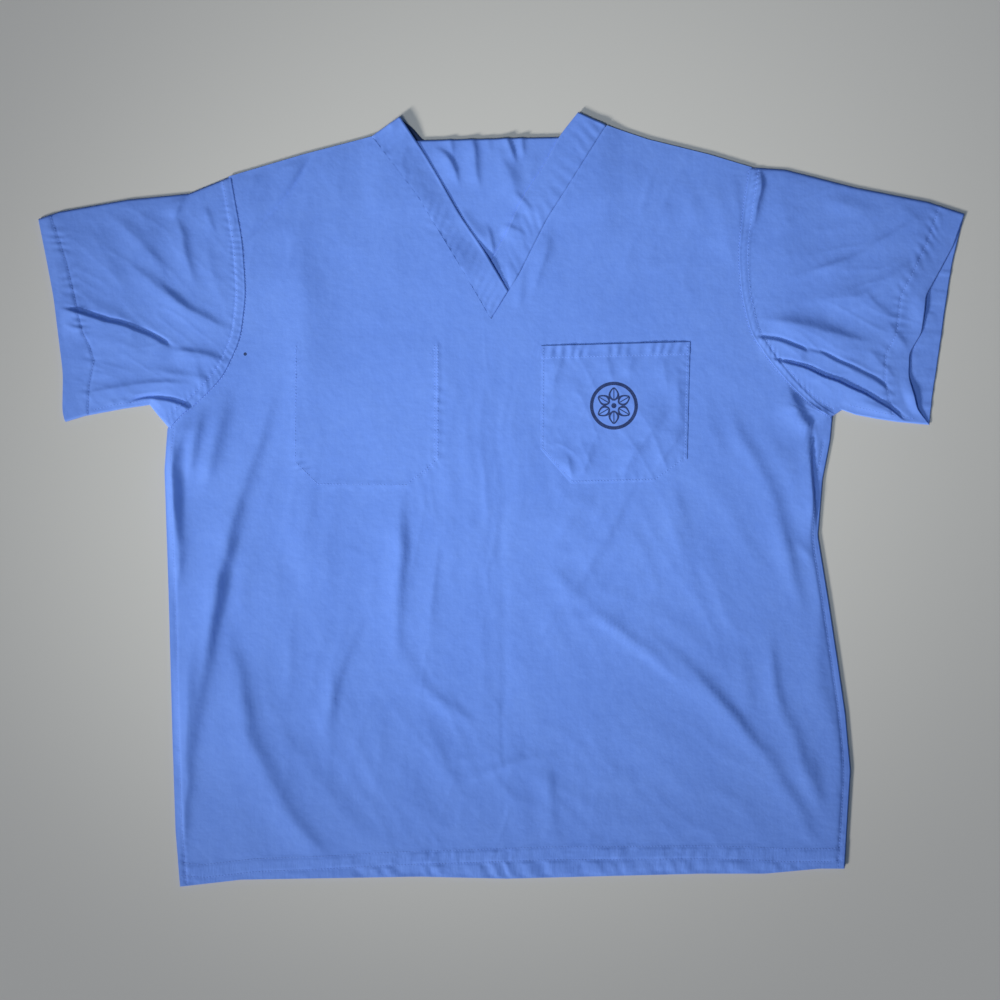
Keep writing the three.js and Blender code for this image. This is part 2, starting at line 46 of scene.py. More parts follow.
# body panel: y and x down each side from the hem to the shoulder, then the hem and the two tops
leftSide = [(886, 180.6), (830, 176), (740, 173), (590, 169), (470, 165), (428, 168), (417, 176),
            (400, 198), (376, 222), (339, 239), (294, 244.5), (242, 241), (177, 229)]
rightSide = [(868, 844), (818, 847), (770, 850), (714, 845), (659, 837), (600, 828), (536, 817.5),
             (480, 822), (442, 829.5), (415, 832), (409, 818), (385, 792), (361, 771), (333, 752),
             (295, 743), (253, 740), (208, 745), (168, 752)]
hemEdge = [(180.6, 886), (242, 879), (419, 876), (507, 878), (700, 873), (765, 873), (819, 868), (844, 868)]
frontTop = [(229, 177), (303, 155), (372, 137), (417, 196), (462, 270), (491, 320), (519, 275),
            (546, 221), (566, 190), (606, 126), (648, 140), (709, 155), (752, 168)]
backTop = [(229, 177), (303, 155), (372, 139), (404, 142), (424, 141), (558, 138), (580, 136),
           (606, 130), (648, 141), (709, 155), (752, 168)]
underarmShare = 0.6465

# sleeves: top and underarm edges from armhole to cuff, cuffs from top to underarm
leftSleeveTop = [(229, 177), (189, 194), (128, 200), (60, 212), (39, 219)]
leftSleeveUnder = [(168, 428), (158, 415), (150, 405), (123, 409), (86, 416), (66, 422)]
leftCuff = [(39, 219), (47, 258), (54.5, 297), (64, 374), (63, 415), (66, 422)]
rightSleeveTop = [(752, 168), (785, 170), (856, 188), (927, 202), (964, 214)]
rightSleeveUnder = [(832, 415), (842, 410), (856, 415), (877, 419), (897, 422), (929, 425)]
rightCuffFront = [(964, 214), (953, 246), (937, 275), (925, 296), (921, 333), (909, 353), (908, 377),
                  (916, 409), (929, 425)]
rightCuffBack = [(964, 214), (952, 263), (945.5, 304), (941, 337), (936, 371), (932, 396), (929, 425)]

# neck bands from the shoulder to the point of the V
leftBandSewn = [(372, 137), (417, 196), (462, 270), (491, 320)]
leftBandFree = [(400, 118), (424, 153), (463, 220), (486, 254), (508, 291.5)]
rightBandSewn = [(606, 126), (566, 190), (546, 221), (519, 275), (491, 320)]
rightBandFree = [(578, 113), (559, 137), (545, 164), (520, 202), (505, 236), (490, 262), (481, 282)]
backBandUpper = [(402, 120), (413, 128), (424, 143), (490, 142), (558, 140), (568, 129), (577, 117)]
backBandLower = [(392, 143), (399, 158), (418, 170), (490, 171), (563, 169), (584, 156), (592, 139)]

# creases: from x, y, to x, y, sideways bend, half width, height, lean of the steep side
creases = [
    # wearer's right side of the body
    (282, 376, 190, 800, 17, 14, 6.0, -0.52),
    (250, 480, 205, 640, 4, 10, 1.2, -0.3),
    (168, 410, 181, 600, -3, 15, 6.0, -0.45),
    (190, 420, 187, 566, 2, 6, -1.4, 0),
    (206, 398, 190, 500, 3, 8, 3.0, -0.45),
    (230, 382, 208, 500, 3, 11, 3.6, -0.4),
    (186, 548, 176, 600, 3, 5, 1.0, -0.2),
    (190, 600, 182, 880, -5, 9, 2.6, -0.4),
    (230, 610, 340, 876, 26, 15, 3.4, -0.5),
    (214, 690, 262, 872, 6, 18, 1.0, 0.1),
    (246, 650, 350, 878, 24, 26, 1.4, -0.2),
    (262, 690, 410, 866, 18, 13, 0.6, -0.3),
    (406, 484, 397, 676, 4, 11, 3.2, -0.5),
    (397, 628, 484, 722, 20, 9, 1.3, -0.4),
    (340, 470, 330, 610, 6, 11, 1.2, -0.3),
    (366, 600, 322, 760, 8, 10, 2.3, -0.5),
    (300, 190, 300, 500, -4, 24, 2.4, 0),
    (300, 440, 326, 660, 8, 15, 1.2, 0),
    (430, 520, 428, 700, -4, 9, 0.7, -0.3),
    (448, 400, 452, 600, 3, 7, 0.5, -0.2),
    (256, 520, 246, 640, 4, 14, 0.9, -0.2),
    (282, 540, 296, 710, 6, 12, 0.8, -0.2),
    (352, 720, 446, 830, 14, 14, 0.9, -0.3),
    (300, 730, 392, 860, 14, 12, 0.45, -0.3),
    (372, 690, 400, 780, 8, 11, 0.7, -0.2),
    (420, 700, 470, 790, 10, 11, 0.7, -0.2),
    (318, 148, 240, 248, -3, 7, 2.0, -0.64),
    (348, 142, 320, 190, 0, 7, 0.8, 0.3),
    (270, 166, 232, 218, 0, 7, 0.8, 0.3),
    (330, 190, 290, 260, 0, 16, 0.5, 0.1),
    (392, 190, 404, 300, 4, 14, 0.5, -0.1),
    (360, 300, 392, 330, 0, 12, 0.6, -0.2),
    # centre
    (500.5, 340, 503, 862, 0, 3.4, -0.6, 0),
    (487, 360, 484, 600, 2, 6, 0.6, -0.1),
    (473, 370, 468, 580, 2, 7, 0.6, -0.1),
    (515, 390, 518, 560, 0, 7, 0.5, 0),
    (530, 400, 528, 500, 0, 7, 0.4, -0.2),
    (476, 600, 480, 740, -3, 9, 0.6, -0.2),
    (462, 782, 556, 758, -4, 6, 1.0, 0.4),
    (440, 760, 520, 752, -3, 7, 0.6, 0.2),
    (545, 750, 560, 856, 4, 7, 1.2, -0.45),
    (520, 780, 526, 846, 2, 8, 0.5, -0.2),
    (600, 478, 546, 546, -4, 8, 1.5, -0.45),
    (628, 486, 572, 588, -6, 8, 1.6, -0.4),
    (592, 566, 534, 642, -3, 8, 1.5, -0.45),
    (544, 564, 584, 612, -2, 7, 1.1, -0.4),
    (582, 610, 672, 666, -2, 5, 1.1, -0.3),
    (578, 606, 704, 702, -3, 7, 1.1, 0.5),
    (672, 484, 700, 560, 6, 8, 1.2, -0.3),
    (560, 360, 548, 440, 0, 9, 0.5, -0.2),
    (445, 345, 440, 470, 0, 10, 0.5, -0.2),
    (516, 640, 540, 740, 4, 12, 0.6, -0.2),
    # wearer's left side of the body
    (622, 610, 826, 856, -18, 10, 2.3, -0.5),
    (640, 600, 740, 690, -6, 12, 0.8, -0.3),
    (600, 690, 690, 760, -4, 14, 0.6, -0.2),
    (576, 690, 620, 800, -4, 16, 0.5, -0.1),
    (650, 470, 716, 630, 4, 10, 1.0, -0.35),
    (690, 520, 742, 640, 2, 10, 0.7, -0.3),
    (700, 380, 726, 460, 2, 9, 0.7, -0.3),
    (722, 392, 800, 640, -12, 11, 2.6, -0.35),
    (752, 400, 822, 640, -10, 13, 1.4, 0.2),
    (764, 610, 826, 820, 10, 9, 2.2, -0.45),
    (740, 640, 752, 716, 3, 9, 0.9, -0.3),
    (804, 406, 817, 560, 4, 7, 3.6, -0.66),
    (812, 540, 843, 790, 8, 12, 1.2, -0.3),
    (832, 690, 840, 868, 0, 12, 1.0, -0.2),
    (785, 384, 814, 440, 4, 9, 4.2, -0.58),
    (790, 540, 812, 560, 2, 5, 0.9, 0.2),
    (808, 740, 830, 812, 6, 7, 1.1, -0.35),
    (640, 150, 590, 216, 0, 10, 0.8, 0.3),
    (610, 210, 570, 290, -2, 10, 0.6, 0.2),
    (666, 190, 620, 270, -2, 11, 0.6, 0.2),
    (700, 170, 738, 276, -6, 12, 1.2, 0.1),
    (676, 160, 704, 230, 0, 11, 0.6, -0.2),
    (730, 172, 744, 246, 0, 8, 1.2, -0.3),
    (546, 232, 534, 300, 0, 7, 1.8, -0.4),
    (524, 262, 518, 310, 0, 6, 1.3, -0.4),
    # wearer's right sleeve
    (62, 305, 176, 347, -3, 11, 2.3, -0.8),
    (84, 330, 150, 352, 0, 15, 2.2, -0.2),
    (168, 347, 232, 362, -2, 9, 2.0, -0.5),
    (84, 294, 150, 336, 0, 9, 1.1, -0.45),
    (64, 300, 94, 310, 0, 4, 1.2, -0.4),
    (66, 322, 92, 329, 0, 4, 1.1, -0.4),
    (148, 268, 236, 332, 8, 9, 2.0, -0.58),
    (126, 256, 196, 312, 4, 9, 1.7, -0.45),
    (174, 214, 198, 296, -3, 7, 1.7, -0.4),
    (192, 186, 176, 226, 3, 7, 1.8, -0.5),
    (206, 206, 220, 236, 2, 5, 0.9, -0.4),
    (104, 206, 172, 286, -6, 10, 1.2, -0.4),
    (86, 226, 130, 300, -4, 14, 1.0, -0.2),
    (140, 210, 160, 250, -2, 10, 0.8, -0.3),
    (76, 400, 200, 384, -10, 9, 2.3, -0.55),
    (128, 402, 196, 408, -7, 7, 2.2, -0.7),
    (150, 364, 224, 376, 4, 9, 1.6, -0.4),
    (198, 352, 210, 392, 2, 5, 0.9, -0.3),
    (60, 356, 130, 372, 0, 14, 1.0, 0),
    (192, 408, 172, 470, 0, 8, 2.0, -0.3),
    (210, 400, 190, 480, 2, 7, 1.5, -0.3),
    (212, 236, 234, 330, 6, 8, 0.7, 0),
    (112, 396, 116, 412, 0, 4, 0.7, -0.2),
    (124, 394, 126, 410, 0, 4, 0.7, -0.2),
    # wearer's left sleeve
    (796, 286, 922, 218, 3, 6, 1.3, -0.5),
    (806, 312, 934, 252, 3, 13, 3.2, -0.3),
    (758, 318, 872, 342, 2, 13, 3.0, -0.45),
    (752, 340, 806, 356, -3, 7, 1.3, -0.7),
    (792, 350, 898, 402, -4, 9, 1.5, -0.6),
    (762, 358, 926, 434, -6, 8, 2.7, -0.8),
    (830, 356, 888, 396, -3, 7, 1.2, -0.5),
    (862, 350, 894, 384, -2, 6, 1.1, -0.4),
    (862, 284, 896, 318, 4, 7, 1.2, -0.4),
    (884, 318, 910, 352, 2, 7, 1.0, -0.3),
    (759, 168, 752, 232, -2, 7, 2.6, -0.5),
    (776, 186, 790, 240, 0, 10, 0.7, -0.2),
    (822, 200, 880, 214, 2, 9, 0.8, -0.2),
    (900, 206, 926, 230, 3, 8, 0.9, -0.3),
    (780, 232, 812, 300, 4, 16, 0.8, -0.1),
    (930, 226, 908, 300, 4, 8, 1.0, -0.2),
    (790, 396, 846, 420, 2, 7, 1.6, -0.4),
    (850, 404, 900, 422, -2, 6, 1.2, -0.4),
]

# gathers of the back below its neck edge, in the same columns
gathers = [
    (432, 146, 458, 190, -5, 6, 2.0, -0.55),
    (448, 130, 450, 160, 0, 4, 1.3, -0.4),
    (470, 130, 483, 194, 2, 7, 1.9, -0.5),
    (486, 136, 490, 158, 0, 4, 0.5, -0.3),
    (500, 128, 516, 168, -2, 5, 2.0, -0.55),
    (494, 140, 516, 204, 0, 13, 2.2, -0.3),
    (520, 128, 524, 162, 0, 4, 1.4, -0.4),
    (536, 150, 528, 186, 0, 7, 0.6, -0.2),
    (460, 204, 490, 250, 3, 9, 1.8, -0.35),
    (486, 224, 494, 260, 0, 5, 1.6, -0.5),
    (500, 240, 518, 210, 0, 6, 1.5, -0.4),
    (500, 226, 532, 240, -2, 5, 1.4, -0.5),
    (510, 192, 538, 214, 0, 5, 1.4, -0.5),
]

# patches of fine wrinkles: centre x, y, reach across, down, direction, length, spacing, height, seed
patches = [
    (330, 620, 130, 240, 96, 90, 22, 0.55, 11),
    (400, 760, 130, 110, 60, 70, 18, 0.45, 12),
    (470, 480, 60, 150, 91, 80, 11, 0.4, 13),
    (590, 560, 90, 120, 60, 50, 18, 0.55, 14),
    (590, 560, 90, 120, 125, 50, 18, 0.5, 15),
    (690, 560, 110, 150, 62, 80, 20, 0.5, 16),
    (640, 780, 180, 90, 40, 60, 18, 0.5, 17),
    (640, 230, 110, 90, 120, 60, 20, 0.6, 18),
    (300, 220, 90, 90, 105, 60, 20, 0.5, 19),
    (540, 800, 120, 70, 100, 40, 14, 0.5, 20),
    (150, 290, 90, 110, 40, 50, 13, 0.35, 21),
    (150, 380, 90, 50, 8, 50, 12, 0.3, 22),
    (850, 250, 110, 90, 155, 60, 14, 0.35, 23),
    (850, 360, 90, 70, 25, 50, 12, 0.4, 24),
    (500, 865, 340, 26, 88, 26, 10, 0.35, 25),
]


def smooth(a, b, v):
    t = np.clip((v - a) / (b - a), 0, 1)
    return t * t * (3 - 2 * t)


def softNoise(x, y, size, seed):
    table = np.random.default_rng(seed).uniform(-1, 1, (64, 64))
    u, v = x / size, y / size
    i, j = np.floor(u).astype(int), np.floor(v).astype(int)
    fu, fv = smooth(0, 1, u - i), smooth(0, 1, v - j)
    low = table[i % 64, j % 64] * (1 - fu) + table[(i + 1) % 64, j % 64] * fu
    high = table[i % 64, (j + 1) % 64] * (1 - fu) + table[(i + 1) % 64, (j + 1) % 64] * fu
    return low * (1 - fv) + high * fv


def nearLine(line, x, y):
    # distance to a line, length along it there, side of it, and its whole length
    best = np.full(np.shape(x), 1e9)
    along = np.zeros(np.shape(x))
    side = np.ones(np.shape(x))
    run = 0
    for (ax, ay), (bx, by) in zip(line, line[1:]):
        ex, ey = bx - ax, by - ay
        size = math.hypot(ex, ey)
        t = np.clip(((x - ax) * ex + (y - ay) * ey) / size**2, 0, 1)
        d = np.hypot(x - ax - ex * t, y - ay - ey * t)
        nearer = d < best
        best = np.where(nearer, d, best)
        along = np.where(nearer, run + t * size, along)
        side = np.where(nearer, np.where(ex * (y - ay) - ey * (x - ax) >= 0, 1, -1), side)
        run += size
    return best, along, side, run


def arcLine(x0, y0, x1, y1, bend, steps=10):
    size = math.hypot(x1 - x0, y1 - y0)
    cx = (x0 + x1) / 2 - (y1 - y0) / size * bend * 2
    cy = (y0 + y1) / 2 + (x1 - x0) / size * bend * 2
    shares = [i / steps for i in range(steps + 1)]
    return [((1 - u) ** 2 * x0 + 2 * u * (1 - u) * cx + u * u * x1,
             (1 - u) ** 2 * y0 + 2 * u * (1 - u) * cy + u * u * y1) for u in shares]


def besideLine(line, reach, x, y):
    xs, ys = [p[0] for p in line], [p[1] for p in line]
    return (x > min(xs) - reach) & (x < max(xs) + reach) & (y > min(ys) - reach) & (y < max(ys) + reach)


# a crease tapers over a share of its length, less if it is pressed, and a folded one has a groove at its foot
creaseShape = {"ends": 0.36, "pressedEnds": 0.16, "pressedFrom": 0.7, "uneven": 0.28, "profile": 1.55,
               "foldedFrom": 0.6, "grooveAt": 1.5, "grooveDepth": 0.9, "grooveHalf": 1.9}


def creaseField(rows, x, y):
    shape = creaseShape
    total = np.zeros(np.shape(x))
    for x0, y0, x1, y1, bend, width, height, lean in rows:
        line = arcLine(x0, y0, x1, y1, bend)
        near = besideLine(line, width * 3, x, y)
        if not near.any():
            continue
        d, along, side, size = nearLine(line, x[near], y[near])
        ends = shape["pressedEnds"] if abs(lean) >= shape["pressedFrom"] else shape["ends"]
        taper = smooth(0, ends, along / size) * smooth(1, 1 - ends, along / size)
        uneven = 1 + shape["uneven"] * np.cos(along / (width * 2.3) + x0) * smooth(0, 60, size)
        half = width * (0.6 + 0.4 * taper) * (1 - side * lean)
        total[near] += height * taper * uneven * np.exp(-((d / half) ** shape["profile"]))
        if abs(lean) >= shape["foldedFrom"]:
            foot = np.where(side * lean > 0, d - shape["grooveAt"] * half, 99) / shape["grooveHalf"]
            total[near] -= shape["grooveDepth"] * height * taper * np.exp(-(foot**2))
    return total


def flip(rows):
    return [(x, y) for y, x in rows]


outlineParts = [
    hemEdge + flip(rightSide[1:10]) + rightSleeveUnder[1:] + rightCuffBack[::-1][1:]
    + rightSleeveTop[::-1][1:] + frontTop[9:][::-1][1:],
    frontTop[:3][::-1] + leftSleeveTop[1:] + leftCuff[1:] + leftSleeveUnder[::-1][1:]
    + flip(leftSide[:5][::-1]),
]


def edgeDistance(x, y):
    return np.minimum(nearLine(outlineParts[0], x, y)[0], nearLine(outlineParts[1], x, y)[0])


def readTable(rows, value):
    keys, values = [r[0] for r in rows], [r[1] for r in rows]
    if keys[0] > keys[-1]:
        keys, values = keys[::-1], values[::-1]
    return np.interp(value, keys, values)


def lineAt(line, u):
    sizes = [math.hypot(b[0] - a[0], b[1] - a[1]) for a, b in zip(line, line[1:])]
    runs = np.concatenate([[0], np.cumsum(sizes)]) / sum(sizes)
    return np.interp(u, runs, [p[0] for p in line]), np.interp(u, runs, [p[1] for p in line])


def roundedLine(line, steps=60):
    # the same line with its corners eased
    u = np.linspace(0, 1, steps)
    x, y = lineAt(line, u)
    for _ in range(6):
        x[1:-1] = (x[:-2] + x[1:-1] * 2 + x[2:]) / 4
        y[1:-1] = (y[:-2] + y[1:-1] * 2 + y[2:]) / 4
    return list(zip(x, y))


def movedLine(line, distance):
    # sideways, to the left of a line that runs down
    moved = []
    for i, (x, y) in enumerate(line):
        ax, ay = line[max(i - 1, 0)]
        bx, by = line[min(i + 1, len(line) - 1)]
        size = math.hypot(bx - ax, by - ay)
        moved.append((x - (by - ay) / size * distance, y + (bx - ax) / size * distance))
    return moved


def between(a, b, share):
    return a + (b - a) * share


def bodyPoint(s, t, top):
    # s runs across from the left side, t up from the hem
    left = readTable(leftSide, between(leftSide[0][0], leftSide[-1][0], t))
    right = readTable(rightSide, between(rightSide[0][0], rightSide[-1][0], t))
    yHem = readTable(hemEdge, between(hemEdge[0][0], hemEdge[-1][0], s))
    yTop = readTable(top, between(top[0][0], top[-1][0], s))
    return between(left, right, s), between(yHem, yTop, t)


armShares = np.linspace(1, underarmShare, 40)
leftArmhole = roundedLine([tuple(map(float, bodyPoint(0.0, t, frontTop))) for t in armShares])
rightArmhole = roundedLine([tuple(map(float, bodyPoint(1.0, t, frontTop))) for t in armShares])

# pockets: outlines from the top left corner down round the foot to the top right one
patchEdge = [(541, 346), (540, 449), (571, 484), (655, 482), (687, 459), (690, 342)]
innerEdge = [(297, 346), (296, 462), (318, 484), (411, 485), (438, 462), (438, 345)]
hemStitch = [(182, 862), (203, 864), (255, 858), (330, 855), (400, 851), (467, 849), (550, 846), (700, 845),
             (749, 846), (787, 848), (830, 848), (845, 846)]
leftCuffStitch = [(51, 216), (67, 263), (78, 309), (84, 334), (91, 348), (95, 362), (90, 384), (88, 416)]
rightCuffStitch = [(938, 209), (926, 244), (912, 272), (900, 296), (896, 333), (885, 355), (884, 378),
                   (893, 420)]

seamInset = 6.5
leftSeam = roundedLine([(x + seamInset, y) for x, y in flip(leftSide[:6])])
rightSeam = roundedLine([(x - seamInset, y) for x, y in flip(rightSide[:9])])
sleeveSeam = movedLine(rightArmhole, -6)
hemFoot = movedLine(hemStitch, 13)

# seams that pucker the cloth: line, channel depth, channel width, pucker height, spacing, reach, slant
seams = [
    (leftArmhole, 0.15, 1.6, 0.2, 6.6, 4, 0.3),
    (movedLine(leftArmhole, 7), 0.25, 1.5, 0.24, 6.6, 5, 0.4),
    (rightArmhole, 0.2, 1.6, 0.14, 6.8, 4, -0.8),
    (sleeveSeam[:44], 0.2, 1.5, 0.42, 6.8, 4.5, -0.9),
    (sleeveSeam[43:], 0.2, 1.5, 0.24, 6.8, 4.5, -0.9),
    (leftSeam, 0.5, 1.7, 0.2, 9, 4, 0.4),
    (rightSeam, 0.5, 1.7, 0.22, 9, 4, 0.4),
    (hemStitch, 0.3, 1.4, 0.0, 12.5, 7, 0.4),
    (hemFoot, 0.25, 1.4, 0.0, 10.5, 6, 0.4),
    (innerEdge, -0.6, 1.8, 0.34, 10.5, 6, 0.3),
    (leftBandSewn, 0.0, 1.8, 0.3, 12, 9, 0.5),
    (rightBandSewn[:4], 0.45, 1.6, 0.22, 13, 9, -0.5),
    (leftCuffStitch, 0.35, 1.6, 0.3, 11, 8, 0.3),
    (rightCuffStitch, 0.3, 1.6, 0.3, 10, 8, 0.3),
    (patchEdge, 0.0, 2.0, 0.18, 11.0, 8, 0.3),
    ([(541, 352), (690, 348.5)], 0.0, 1.5, 0.6, 10.5, 6, 0.3),
]


def seamRelief(x, y):
    total = np.zeros(np.shape(x))
    for number, (line, depth, width, pucker, spacing, reach, slant) in enumerate(seams):
        near = besideLine(line, reach * 3, x, y)
        if not near.any():
            continue
        px, py = x[near], y[near]
        d, along, side = nearLine(line, px, py)[:3]
        wander = 2.0 * softNoise(px, py, 21, 40 + number)
        wave = np.cos(2 * math.pi * (along + slant * side * d) / spacing + wander * 2)
        strength = 0.45 + 0.55 * smooth(-0.6, 0.4, softNoise(px, py, 37, 60 + number))
        total[near] += pucker * strength * wave * np.exp(-((d / reach) ** 2))
        total[near] -= depth * np.exp(-((d / width) ** 2))
    return total


# unevenness of the whole cloth: seed, size and height
unevenness = {"mottle": (17, 12, 0.1), "lump": (18, 46, 0.5)}


def wrinkleField(x, y):
    total = np.zeros(np.shape(x))
    for cx, cy, reachX, reachY, angle, length, width, height, seed in patches:
        place = np.clip(1.3 - np.hypot((x - cx) / reachX, (y - cy) / reachY), 0, 1)
        if not place.any():
            continue
        c, s = math.cos(math.radians(angle)), math.sin(math.radians(angle))
        wx, wy = x + 7 * softNoise(x, y, 48, seed + 30), y + 7 * softNoise(x, y, 44, seed + 31)
        u, v = (wx * c + wy * s) / length, (wy * c - wx * s) / width
        ridge = 1 - np.abs(softNoise(u, v, 1.0, seed)) * 1.6
        total += height * np.clip(ridge, 0, 1) ** 2 * smooth(0, 0.9, place)
    seed, size, height = unevenness["mottle"]
    total += height * softNoise(x, y, size, seed) + height * 0.6 * softNoise(x, y, size * 0.5, seed + 1)
    seed, size, height = unevenness["lump"]
    return total + height * softNoise(x, y, size, seed)


# heights of the layers above the surface that the garment lies on, and of what lifts them
layers = {"back": 0.85, "front": 1.9, "loft": 2.4, "loftReach": 30, "neckRaise": 1.6, "neckRoom": 1.3,
          "pocketRoom": 2.0, "hemFold": 0.35, "cuffFold": 0.6, "hemPucker": 0.85, "least": 0.15}


def neckRaise(x, y):
    return layers["neckRaise"] * smooth(358, 384, x) * smooth(626, 600, x) * smooth(232, 196, y)


def backHeight(x, y):
    wx, wy = x + 3 * softNoise(x, y, 30, 21), y + 3 * softNoise(x, y, 34, 22)
    visible = smooth(330, 250, y)
    gathered = creaseField(gathers, wx, wy) + 0.4 * wrinkleField(x, y) + 0.2
    return layers["back"] + neckRaise(x, y) + visible * gathered


def pocketRoom(x, y):
    across, down = smooth(276, 292, x) * smooth(460, 443, x), smooth(325, 342, y) * smooth(506, 489, y)
    return layers["pocketRoom"] * across * down


def neckRoom(x, y):
    return layers["neckRoom"] * smooth(170, 60, np.hypot(x - 490, y - 265))


def frontHeight(x, y):
    # top of the front layer of body and sleeves
    far = edgeDistance(x, y)
    wx = x + 5 * softNoise(x, y, 62, 3) + 1.6 * softNoise(x, y, 23, 4)
    wy = y + 5 * softNoise(x, y, 58, 5) + 1.6 * softNoise(x, y, 21, 6)
    edge = smooth(0, 9, far)
    loft = layers["loft"] * (1 - np.exp(-far / layers["loftReach"]))
    free = loft + (creaseField(creases, wx, wy) + wrinkleField(x, y)) * edge
    least = np.maximum(pocketRoom(x, y), neckRoom(x, y))
    blend = 0.5 * (free + least + np.sqrt((free - least) ** 2 + 0.3))
    blend = np.maximum(blend, layers["least"] * edge)
    hemFold = layers["hemFold"] * smooth(0.6, -0.6, hemGap(x, y))
    sewn = seamRelief(x, y) * smooth(0, 5, far) + hemFold + cuffFold(x, y)
    return layers["front"] + neckRaise(x, y) + blend + sewn + hemPuckers(x, y) * smooth(0, 4, far)


def cuffFold(x, y):
    d, side = nearLine(leftCuffStitch, x, y)[::2]
    return layers["cuffFold"] * smooth(1.3, -0.9, -side * d) * smooth(130, 110, x)


def hemGap(x, y):
    return readTable(hemStitch, x) - 1.5 - y


def hemPuckers(x, y):
    # two rows of slanted gathers, from line to line and from the lower line to the edge
    down = -1.5 - hemGap(x, y)
    upper = smooth(0, 4, down) * smooth(13, 9.5, down)
    lower = smooth(13, 17, down)
    first = softNoise(x + 0.55 * down, y * 0.1, 4.2, 81) + 0.5 * softNoise(x + 0.3 * down, y * 0.1, 8.5, 82)
    second = softNoise(x - 0.35 * down, y * 0.1, 4.6, 83) + 0.5 * softNoise(x, y * 0.1, 9.5, 84)
    amount = (0.3 + 0.7 * smooth(290, 380, x)) * smooth(826, 796, x) * smooth(184, 196, x)
    return layers["hemPucker"] * amount * (upper * first + lower * second)


print("lay-out measured")


def linear(r, g, b):
    return tuple(((c / 255 + 0.055) / 1.055) ** 2.4 if c > 10 else c / 255 / 12.92 for c in (r, g, b)) + (1,)


def addNode(tree, kind, **values):
    made = tree.nodes.new("ShaderNode" + kind)
    for key, value in values.items():
        if hasattr(made, key):
            setattr(made, key, value)
        else:
            made.inputs[key.replace("_", " ")].default_value = value
    return made


def mathNode(tree, operation, a, b=None, c=None):
    made = addNode(tree, "Math", operation=operation)
    for socket, value in zip(made.inputs, (a, b, c)):
        if value is None:
            continue
        if isinstance(value, (int, float)):
            socket.default_value = value
        else:
            tree.links.new(value, socket)
    return made.outputs[0]


def noiseAt(tree, place, scale, detail, roughness=0.5):
    made = addNode(tree, "TexNoise", Scale=scale, Detail=detail, Roughness=roughness)
    tree.links.new(place, made.inputs["Vector"])
    return made.outputs["Fac"]


def newLook(name, roughness):
    made = bpy.data.materials.new(name)
    made.use_nodes = True
    shader = made.node_tree.nodes["Principled BSDF"]
    shader.inputs["Roughness"].default_value = roughness
    return made, shader


def layOver(tree, share, under, over):
    blend = addNode(tree, "Mix", data_type="RGBA")
    tree.links.new(share, blend.inputs["Factor"])
    tree.links.new(under, blend.inputs["A"])
    blend.inputs["B"].default_value = linear(*over)
    return blend.outputs["Result"]


clothLook = {
    "blue": (105, 143, 229),
    "deep": (98, 136, 223),
    "faded": (112, 150, 234),
    "print": (22, 34, 78),
    "stain": (22, 30, 60),
    "roughness": 0.86,
    "gloss": 0.25,
    "sheen": 0.12,
    "weave": 0.00062,  # thread spacing in metres
    "grain": 0.0028,
    "woven": 0.12,  # relief of the threads, then of the crinkles and the hem's puckers
    "crinkle": 5.5,
    "hem": 8.0,
    "relief": 0.14,
    "depth": 0.0004,
}
# where the hem's line of stitching runs, in metres, and how narrow the puckers below it are
hemPattern = {"slope": 0.055, "middle": -0.3488, "highest": -0.3475, "narrow": (270, 45, 1)}


def hemRelief(tree, place):
    # fine upright puckers between the hem line and the edge
    split = addNode(tree, "SeparateXYZ")
    tree.links.new(place, split.inputs[0])
    line = mathNode(tree, "MULTIPLY_ADD", split.outputs["X"], hemPattern["slope"], hemPattern["middle"])
    hemTop = mathNode(tree, "MINIMUM", line, hemPattern["highest"])
    below = mathNode(tree, "LESS_THAN", split.outputs["Y"], hemTop)
    squeezed = addNode(tree, "VectorMath", operation="MULTIPLY")
    squeezed.inputs[1].default_value = hemPattern["narrow"]
    tree.links.new(place, squeezed.inputs[0])
    upright = noiseAt(tree, squeezed.outputs[0], 1.0, 3.0, 0.65)
    return mathNode(tree, "MULTIPLY", below, mathNode(tree, "MULTIPLY", upright, clothLook["hem"]))


